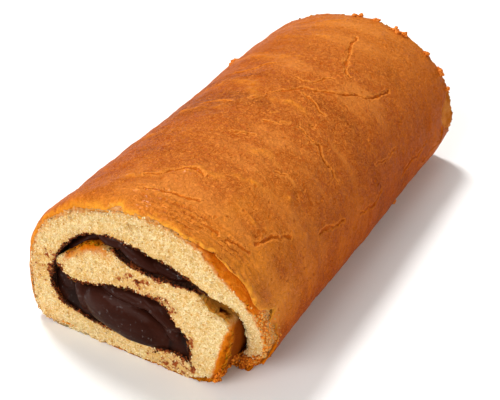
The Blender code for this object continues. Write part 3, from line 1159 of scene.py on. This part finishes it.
def crumb_body(look):
    step = look.mesh_step / MM
    spans = even_places(sheet_sides, step, 0.0, float(SHEET_END))
    depths = np.linspace(0, 1, int(THICKEST / step) + 1)
    span, depth = np.meshgrid(spans, depths, indexing="ij")
    edge = border(*span.shape)
    stations = np.concatenate([RINGS - HALF, [0.0], HALF - RINGS[::-1]])
    rings, ring_marks = zip(*(
        body_side(spans[edge[:, 0]], depths[edge[:, 1]], station) for station in stations
    ))
    (near, near_marks), (far, far_marks) = (body_face(span, depth, side) for side in (1, -1))
    for points in (near, far, *rings):
        points[..., 2] = np.maximum(points[..., 2], 0.0)
    sides = np.array(ring_marks)
    values = {
        name: (near_marks[k], sides[:, k], far_marks[k]) for k, name in enumerate(BODY_MARKS)
    }
    faces, none = np.ones(span.shape), np.zeros(sides[:, 0].shape)
    values["cut"] = (faces, none, faces)
    values["pore"] = (0 * faces, none, 0 * faces)
    return slab("crumb_body", near, rings, far, values)


class SWISSROLL_OT_crumb(Operator):
    """Make the crumb: the whole sheet of sponge under its skin, with pores on the cut faces"""

    bl_idname = "swissroll.crumb"
    bl_label = "Crumb"

    def execute(self, context):
        look, crust = context.scene.roll_crumb, context.scene.roll_crust
        mesh = crumb_body(look)
        tree = pore_tree()
        least, most, density = look.pore_smallest, look.pore_largest, look.pore_density
        for turn, (crowd, smallest, largest, deep) in enumerate((
            (density * 6, least * 0.8, least * 1.6, 0.45),
            (density, least, most, 0.55),
        )):
            mesh = run_tree(mesh, tree, {
                "Mask": "cut", "Mark": "pore", "Density": crowd, "Smallest": smallest,
                "Largest": largest, "Depth": deep, "Seed": look.seed + turn,
            })
        material = once("open_crumb", crumb_material, look, crust)
        finish_piece("crumb_body", mesh, material, "sponge")
        return {"FINISHED"}


# ---- The skin ----


THIN = 6                   # the skin's underside keeps one point in so many of the outside
ARC_DEGS = np.linspace(FOOT_DEG, 250, 2400)
ARC_WALKED = walked(dome(ARC_DEGS))


def walk(deg):
    """The distance from the foot to these dome angles, round the outside."""
    return np.interp(deg, ARC_DEGS, ARC_WALKED)


def line_distance(across, along, line):
    """Distance on the skin from each point to a line of (dome angle, mm from the face)."""
    knots = np.array([(walk(deg), mm) for deg, mm in line])
    nearest = np.full(across.shape, 1e9)
    for (ax, ay), (bx, by) in zip(knots, knots[1:]):
        ex, ey = bx - ax, by - ay
        t = unit(((across - ax) * ex + (along - ay) * ey) / (ex * ex + ey * ey))
        nearest = np.minimum(nearest, np.hypot(across - ax - t * ex, along - ay - t * ey))
    return nearest


def skin_relief(deg, mm, points, look):
    """Height of the skin over the plain dome, and its crack and pale masks."""
    across = walk(deg)
    wander = [
        0.9 * noise(points, 5.0, seed, 2) + 0.6 * smooth_noise(points, 1.5, seed + 5)
        for seed in (61, 62)
    ]
    a, y = across + wander[0], mm + wander[1]
    height = 0.65 * noise(points, 34.0, 31, 2) + 0.46 * noise(points, 10.0, 33, 2)
    height += 0.13 * noise(points, 2.6, 35, 2)
    crack = np.zeros(deg.shape)
    pale = np.zeros(deg.shape)
    for line, half_width, depth in CRACKS:
        broken = 0.75 + 0.45 * smooth_noise(points, 4.0, 66)
        gap = line_distance(a, y, line)
        away = gap / (half_width * (0.8 + 0.4 * broken))
        height -= depth * broken * hill(away)
        height += 0.25 * depth * broken * hill((away - 2.2) / 1.2)
        strength = unit(0.55 + 0.35 * broken + 0.2 * depth)
        crack = np.maximum(crack, unit(1 - gap / 2.4) * strength)
    for line, half_width, rise in WELTS:
        away = line_distance(a, y, line) / half_width
        rough = np.clip(0.6 + 0.9 * noise(points, 2.6, 64, 2), 0, 1.5)
        height += rise * rough * hill(away)
        pale = np.maximum(pale, 0.6 * rough * hill(away))
    for spot_deg, spot_mm, radius, depth in PITS:
        away = np.hypot(a - walk(spot_deg), y - spot_mm) / radius
        height -= depth * (hill(away) - 0.2 * hill((away - 1.7) / 0.6))
        crack = np.maximum(crack, hill(away * 1.2))
    creased = fall(11, 26, mm) * fall(84, 106, deg) * ramp(22, 42, deg)
    swing = np.abs(np.sin((y + 2.6 * smooth_noise(points, 15.0, 36)) * math.tau / 5.2))
    fold = 1 - 2 * swing ** 0.8
    height -= look.wrinkle / MM * creased * fold
    patchy = ramp(-0.1, 0.4, smooth_noise(points * (0.35, 1.0, 0.35), 3.0, 67))
    crack = np.maximum(crack, creased * patchy * (1 - swing))
    pale = np.maximum(pale, creased * 0.5 * unit(-fold))
    pale = np.maximum(pale, 0.25 * ramp(140, 200, mm))
    middle = ramp(24, 36, mm) * ramp(6, 22, LENGTH - mm)
    return np.maximum(height, -0.7 - 0.5 * middle), crack, pale     # never into the crumb


def flaky_mask(deg, mm):
    """Where crusty bits cling to the skin: by the far rim and here and there over it."""
    total = 0.0
    for spot_deg, spot_mm, radius in CLINGING_BITS:
        away = np.hypot(walk(deg) - walk(spot_deg), mm - spot_mm) / radius
        total = np.maximum(total, fall(0.5, 1.0, away))
    return total


def skin_angles(step):
    """Dome angles of the skin's points, further apart on the left wall and underneath."""
    weight = 1 - 0.5 * ramp(150, 168, ARC_DEGS[1:])
    way = np.concatenate([[0], np.cumsum(np.diff(ARC_WALKED) * weight)])
    count = int(way[-1] / step / THIN) * THIN + 1
    return np.interp(np.linspace(way[-1], 0, count), way, ARC_DEGS)


def skin_shell(look):
    """The skin's outside and inside as grids of points, and its marks."""
    step = look.mesh_step / MM
    rows = int(LENGTH / (step * 1.05) / THIN) * THIN + 1
    shares = np.linspace(0, 1, rows)
    shares = shares * (0.72 + 0.28 * shares)      # closer together by the near face
    deg, share = np.meshgrid(skin_angles(step), shares, indexing="ij")
    section, normal = dome(deg), dome_normal(deg)
    key = walk(deg)[..., None] * (1.0, 0.0, 0.0)
    torn_share = fall(*TORN_SIDE, deg)
    scallop = noise(key, 4.2, 71, 3, 0.6)
    front = table(SKIN_FRONT, deg) + (0.45 + 1.0 * torn_share) * scallop
    front = np.maximum(front, torn(deg) + 0.1)
    back = table(SKIN_BACK, deg) + 0.7 * noise(key, 5.0, 73, 3, 0.6)
    mm = front + (LENGTH - front - np.maximum(back, 0.1)) * share
    station = mm - HALF
    flat = in_roll(section, station)
    height, crack, pale = skin_relief(deg, mm, flat, look)
    from_edge, to_back = mm - front, LENGTH - mm - back
    curl = torn_share * np.exp(-from_edge / 2.4) * (0.45 + 0.6 * smooth_noise(flat, 4.0, 75))
    follows = 1 - torn_share
    sink = sink_at(deg, mm) * follows + 0.8 * np.exp(-from_edge / 0.9) * follows
    lip = look.lip / MM * window(deg, 105, 196, 12) * ramp(0, 3, mm)
    lip *= fall(8, 30, mm)
    height = height * ramp(0, 2.5, from_edge + 0.8) + curl - sink + lip
    height -= 0.6 * np.exp(-to_back / 0.9)
    under = SKIN_ROOT * (1 - 0.7 * torn_share * np.exp(-from_edge / 3.0)) + sink
    outer = in_roll(section + normal * height[..., None], station)
    inner = in_roll(section - normal * under[..., None], station)
    outer[..., 2] = np.maximum(outer[..., 2], 0.0)
    inner[..., 2] = np.maximum(inner[..., 2], FLOOR_OF_SKIN)
    golden = np.exp(-from_edge / 5.5) * ramp(56, 74, deg) * fall(150, 175, deg)
    crest = np.exp(-from_edge / 26.0) * torn_share * ramp(-8, 12, deg)
    golden = np.maximum(golden, 1.5 * crest)
    warmth = 0.62 + 0.45 * noise(flat, 8.0, 76, 2)
    ragged = np.clip(1.0 + 0.9 * noise(flat, 1.8, 78, 2), 0.2, 2.0)
    rim = hill(from_edge / (0.9 * ragged)) * (0.9 - 0.3 * torn_share)
    right = fall(-5, 62 + 14 * ramp(90, 200, mm), deg) * (1 - crest)
    values = {
        "crack": unit(crack),
        "pale": unit(np.maximum(pale, golden * warmth)),
        "rim": np.maximum(rim, 0.7 * hill(to_back / 0.8)),
        "flank": np.maximum(right, 0.55 * ramp(94, 126, deg)),
        "smooth": (from_edge > 2) * (to_back > 2) * (flat[..., 2] > 1.5) * 1.0,
        "flaky": flaky_mask(deg, mm),
    }
    return outer, inner, values


def shell_mesh(name, outer, inner, values):
    """A closed shell: a fine outside, an inside with one point in THIN, and fans between."""
    rows, cols = outer.shape[:2]
    coarse = inner[::THIN, ::THIN]
    first = rows * cols
    n, m = coarse.shape[:2]
    faces = grid_faces(rows, cols).tolist() + grid_faces(n, m, first)[:, ::-1].tolist()
    fine_edge, coarse_edge = border(rows, cols), border(n, m)
    fine = fine_edge[:, 0] * cols + fine_edge[:, 1]
    rough = first + coarse_edge[:, 0] * m + coarse_edge[:, 1]
    for k in range(len(rough)):
        a, b = int(rough[k]), int(rough[(k + 1) % len(rough)])
        strip = [int(fine[(k * THIN + s) % len(fine)]) for s in range(THIN + 1)]
        middle = THIN // 2
        for s in range(THIN):
            faces.append((a if s < middle else b, strip[s], strip[s + 1]))
        faces.append((a, strip[middle], b))
    points = np.concatenate([outer.reshape(-1, 3), coarse.reshape(-1, 3)])
    flat = {
        key: np.concatenate([np.ravel(part), np.ravel(part[::THIN, ::THIN])])
        for key, part in values.items()
    }
    return mesh_from(name, points, faces, flat)


class SWISSROLL_OT_skin(Operator):
    """Make the browned skin: cracks, welts, creases by the cut face, pits and a torn edge"""

    bl_idname = "swissroll.skin"
    bl_label = "Browned skin"

    def execute(self, context):
        look = context.scene.roll_crust
        mesh = shell_mesh("browned_skin", *skin_shell(look))
        mesh = run_tree(mesh, pore_tree(), {
            "Mask": "smooth", "Mark": "crack", "Density": look.pit_density,
            "Smallest": 0.0004, "Largest": 0.0010, "Depth": 0.45, "Seed": 8,
        })
        material = once("browned_skin", skin_material, look)
        finish_piece("browned_skin", mesh, material, "sponge")
        return {"FINISHED"}


# ---- The cream ----


OVERLAP = 0.35             # the cream reaches this far into the crumb, so no gap shows

# Lobes of cream on the near face: across, up, half width, half height, tilt in degrees, rise.
CORE_FLOOR = 4.6           # how far back the core lies where it has no lobe
CORE_LOBES = (
    (-12.0, 17.6, 22.5, 10.6, -11.0, 7.0),
    (-7.0, 30.0, 18.0, 3.4, -3.0, 4.6),
    (6.0, 27.0, 12.0, 3.2, -30.0, 5.0),
    (10.5, 21.0, 8.0, 3.6, -58.0, 3.6),
    (-33.5, 21.0, 3.6, 9.0, 14.0, 3.8),
    (-42.5, 25.0, 4.5, 6.0, 25.0, 1.6),
    (-45.0, 17.0, 4.5, 3.0, -10.0, 1.4),
    (15.0, 12.0, 4.0, 4.5, 0.0, 2.0),
)
BAND_FLOOR = 6.0           # and the band where it has none
BAND_LOBES = (
    (-16.5, 54.6, 7.5, 3.4, -2.0, 4.4),
    (-3.5, 50.6, 12.5, 3.5, -24.0, 4.9),
    (10.0, 48.4, 9.0, 3.0, -8.0, 3.8),
    (10.0, 52.0, 9.0, 1.9, -20.0, 1.6),
    (-31.0, 47.5, 12.0, 2.8, 40.0, 2.2),
)
FAR_LOBES = (
    (-13.0, 20.0, 30.0, 13.0, -8.0, 3.0),
    (6.0, 27.0, 12.0, 4.0, -32.0, 2.4),
)


def rail(start, end, side, way):
    """A line along the cream (0) or crust (1) side of the sheet, moved into the crumb."""
    line = sheet_sides(np.linspace(start, end, 300))[side]
    run = np.gradient(line, axis=0)
    run /= np.linalg.norm(run, axis=1)[:, None]
    return line + way * OVERLAP * np.column_stack([-run[:, 1], run[:, 0]])


def respace(line, count):
    """The line drawn again with this many evenly spaced points."""
    way = walked(line)
    wanted = np.linspace(0, way[-1], count)
    return np.column_stack([np.interp(wanted, way, line[:, k]) for k in (0, 1)])


def pocket(above, below, step, tall):
    """A grid of section points that fills a pocket between two rails of the sheet."""
    count = int(max(walked(line)[-1] for line in (above, below)) / step)
    above, below = respace(above, count), respace(below, count)
    share = np.linspace(0, 1, int(tall / step))[None, :, None]
    return below[:, None] + (above - below)[:, None] * share


def lobes_height(section, points, lobes):
    """Rounded lobes of cream laid over each other; the highest one shows."""
    x = section[..., 0] + 0.35 * smooth_noise(points, 6.0, 83)
    z = section[..., 1] + 0.35 * smooth_noise(points, 6.0, 84)
    height = np.zeros(x.shape)
    for across, up, half_wide, half_high, tilt_deg, rise in lobes:
        c, s = math.cos(math.radians(tilt_deg)), math.sin(math.radians(tilt_deg))
        u = ((x - across) * c + (z - up) * s) / half_wide
        v = (-(x - across) * s + (z - up) * c) / half_high
        r = (np.abs(u) ** 2.4 + np.abs(v) ** 2.4) ** (1 / 2.4)
        height = np.maximum(height, rise * np.sqrt(unit(1 - r ** 2.5)))
    return height


def cream_slab(name, grid, near_recess, far_recess, deep):
    """The cream of a pocket, set back this far from the faces."""
    edge = border(*grid.shape[:2])
    near, far = in_roll(grid, -HALF), in_roll(grid, HALF)
    near[..., 1] = -HALF + near_recess
    far[..., 1] = HALF - far_recess
    edge_points = grid[edge[:, 0], edge[:, 1]]
    rings = [in_roll(edge_points, station) for station in np.linspace(14 - HALF, HALF - 14, 12)]
    values = {"deep": (deep, np.zeros((len(rings), len(edge))), np.zeros(grid.shape[:2]))}
    return slab(name, near, rings, far, values)


class SWISSROLL_OT_cream(Operator):
    """Fill both pockets with chocolate cream: the swollen core and the ribbon of the band"""

    bl_idname = "swissroll.cream"
    bl_label = "Chocolate cream"

    def execute(self, context):
        look = context.scene.roll_cream
        step = look.mesh_step / MM
        material = once("glossy_cream", cream_material, look)
        grid = pocket(
            rail(CORE_ABOVE[1], CORE_ABOVE[0], 0, -1), rail(CORE_BELOW[0] + 0.4, CORE_BELOW[1], 0, 1),
            step, 24.0,
        )
        points = in_roll(grid, -HALF)
        height = lobes_height(grid, points, CORE_LOBES)
        floor = 2.0 + (CORE_FLOOR - 2.0) * ramp(12, 26, grid[..., 1])
        recess = np.minimum(CORE_FLOOR - height, floor)
        recess += 0.14 * noise(points * (1, 1, 1.8), 7.0, 81, 3)
        far = 1.0 - lobes_height(grid, points + 90.0, FAR_LOBES)
        # The last value marks the low parts of the face, where painted shade goes.
        core = cream_slab("core_cream", grid, recess, far, unit(1 - height / 2.6))
        finish_piece("core_cream", core, material, "cream_core")
        grid = pocket(
            rail(BAND_ABOVE[1], BAND_ABOVE[0], 0, -1), rail(BAND_BELOW[1] + 0.1, BAND_BELOW[0], 1, 1),
            step, 11.0,
        )
        points = in_roll(grid, -HALF)
        height = lobes_height(grid, points, BAND_LOBES)
        recess = BAND_FLOOR - height + 0.2 * noise(points, 4.0, 91, 2)
        # The last value marks the low parts of the band, where painted shade goes.
        band = cream_slab("band_cream", grid, recess, 2.5, unit(1 - height / 2.2))
        finish_piece("band_cream", band, material, "cream_band")
        return {"FINISHED"}


# ---- Loose crumbs ----


class SWISSROLL_OT_crumbs(Operator):
    """Scatter loose crumbs over the cut faces and bits of crust by the torn edges"""

    bl_idname = "swissroll.crumbs"
    bl_label = "Loose crumbs"

    def execute(self, context):
        scene = context.scene
        look, crumb = scene.roll_bits, scene.roll_crumb
        crust, cream = scene.roll_crust, scene.roll_cream
        # Name, the surface and mask it lies on, material and its two colours, share of density
        # and size, flatness and how far its middle may stand off the surface, in radii.
        kinds = (
            ("loose_crumbs", "crumb_body", "shaggy", "loose_crumb", crumb.pale, crumb.bright,
             1.0, 1.0, 1.0, 0.6),
            ("torn_crumbs", "crumb_body", "frayed", "torn_crumb", crust.edge, crumb.warm,
             1.0, 1.6, 0.8, 0.6),
            ("cream_crumbs", "crumb_body", "smeared", "cream_bit", cream.dark, crumb.soaked,
             1.0, 1.1, 0.8, 0.5),
            ("clinging_bits", "browned_skin", "flaky", "crust_bit", crust.crack, crust.light,
             1.0, 3.4, 0.8, 0.9),
            ("foot_flakes", "crumb_body", "foot", "foot_flake", crust.mid, crust.edge,
             0.6, 3.4, 0.22, 0.5),
        )
        tree = crumb_tree()
        for turn, (name, source, mask, bit, *colours, dense, size, flatness, lift) in enumerate(kinds):
            mesh = run_tree(bpy.data.objects[source].data.copy(), tree, {
                "Mask": mask, "Density": look.density * dense, "Smallest": look.smallest * size,
                "Largest": look.largest * size, "Roughness": 0.6, "Flatness": flatness,
                "Lift": lift, "Seed": look.seed + turn,
                "Material": once(bit, bit_material, bit, *colours),
            })
            finish_piece(name, mesh, None, "sponge")
        return {"FINISHED"}


# ---- Stage ----


# The suns: name, direction, width in degrees, colour.
SUNS = (
    ("key", (-0.45, 0.30, 0.85), 14, (1.0, 0.99, 0.97)),
    ("fill", (-0.25, -0.85, 0.55), 40, (1.0, 0.99, 0.98)),
    ("bounce", (0.85, -0.50, 0.28), 60, (1.0, 0.88, 0.66)),
)
# The camera: lens and sensor in millimetres, place in metres from the ridge line, turn in degrees.
LENS, SENSOR = 72.14, 36.0
CAMERA_PLACE, CAMERA_TURN = (0.1888, -0.3520, 0.2872), (56.0, 0.0, 29.9)
FLOOR_REACH = 3.0          # half the side of the floor, in metres


def sun(name, place, width_deg, colour, strength):
    """A wide sun that shines from this direction towards the origin."""
    light = bpy.data.lights.new(name, "SUN")
    light.energy = strength
    light.angle = math.radians(width_deg)
    light.color = colour
    lamp = linked(name, light)
    lamp.rotation_euler = Vector(place).to_track_quat("Z", "Y").to_euler()


class SWISSROLL_OT_stage(Operator):
    """Set the pale floor, the soft studio light and the camera"""

    bl_idname = "swissroll.stage"
    bl_label = "Stage"

    def execute(self, context):
        look = context.scene.roll_stage
        scene = context.scene
        mesh = bpy.data.meshes.new("floor")
        square = ((-1, -1), (1, -1), (1, 1), (-1, 1))
        corners = [(FLOOR_REACH * x, FLOOR_REACH * y, 0) for x, y in square]
        mesh.from_pydata(corners, [], [(0, 1, 2, 3)])
        material = new_material("floor_white", {"Roughness": 0.6, "Base Color": look.floor})[0]
        mesh.materials.append(material)
        linked("floor", mesh)
        world = bpy.data.worlds.new("studio")
        world.use_nodes = True
        feed(world.node_tree.nodes["Background"], {0: (1.0, 1.0, 1.0), 1: look.air})
        scene.world = world
        for name, *given in SUNS:
            sun(name, *given, getattr(look, name))
        camera_data = bpy.data.cameras.new("camera")
        camera_data.sensor_width = SENSOR
        camera_data.lens = LENS
        camera_data.clip_end = 10.0
        camera = linked("camera", camera_data)
        camera.location = Vector(CAMERA_PLACE) + Vector((RIDGE * MM, 0.0, 0.0))
        camera.rotation_euler = [math.radians(turn) for turn in CAMERA_TURN]
        scene.camera = camera
        scene.view_settings.view_transform = "Standard"
        return {"FINISHED"}


# ---- Panel and registration ----


class SWISSROLL_PT_panel(Panel):
    """The roll's pieces and their settings"""

    bl_label = "Swiss Roll"
    bl_space_type = "VIEW_3D"
    bl_region_type = "UI"
    bl_category = "Swiss Roll"

    def draw(self, context):
        for operator, settings in PIECES:
            box = self.layout.box()
            box.operator(operator.bl_idname)
            group = getattr(context.scene, settings)
            for key in type(group).__annotations__:
                box.prop(group, key)


PIECES = (
    (SWISSROLL_OT_crumb, "roll_crumb"),
    (SWISSROLL_OT_skin, "roll_crust"),
    (SWISSROLL_OT_cream, "roll_cream"),
    (SWISSROLL_OT_crumbs, "roll_bits"),
    (SWISSROLL_OT_stage, "roll_stage"),
)
SETTINGS = {
    "roll_crumb": CrumbLook,
    "roll_crust": CrustLook,
    "roll_cream": CreamLook,
    "roll_bits": BitsLook,
    "roll_stage": StageLook,
}
CLASSES = (*SETTINGS.values(), *(operator for operator, _ in PIECES), SWISSROLL_PT_panel)


def register():
    for cls in CLASSES:
        bpy.utils.register_class(cls)
    for name, group in SETTINGS.items():
        setattr(bpy.types.Scene, name, PointerProperty(type=group))


def unregister():
    for name in SETTINGS:
        delattr(bpy.types.Scene, name)
    for cls in reversed(CLASSES):
        bpy.utils.unregister_class(cls)


def main():
    register()
    bpy.ops.swissroll.crumb()
    bpy.ops.swissroll.skin()
    bpy.ops.swissroll.cream()
    bpy.ops.swissroll.crumbs()
    bpy.ops.swissroll.stage()


if __name__ == "__main__":
    main()
